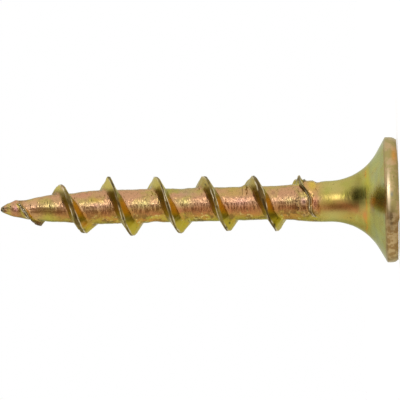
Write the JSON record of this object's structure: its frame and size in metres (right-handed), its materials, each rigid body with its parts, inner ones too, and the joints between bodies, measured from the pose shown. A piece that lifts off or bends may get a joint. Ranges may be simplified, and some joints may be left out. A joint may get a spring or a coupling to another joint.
{
  "type": "drywall screw",
  "caption": "Coarse-thread drywall screw with a bugle head, a cross recess, a short smooth shank and a sharp point, in yellow zinc-plated steel.",
  "frame": {"origin": "centre of the head's flat face, which the screw stands on", "axes": "+Z along the screw's axis, from the head to the point; the thread's crest first reaches full height on the +X side"},
  "size_m": [0.0078, 0.0078, 0.025],
  "materials": {
    "yellow_zinc": "yellow iridescent zinc plating on cold-formed steel, slightly rough from rolling"
  },
  "bodies": {
    "root": {"screw": "yellow_zinc"}
  },
  "joints": []
}
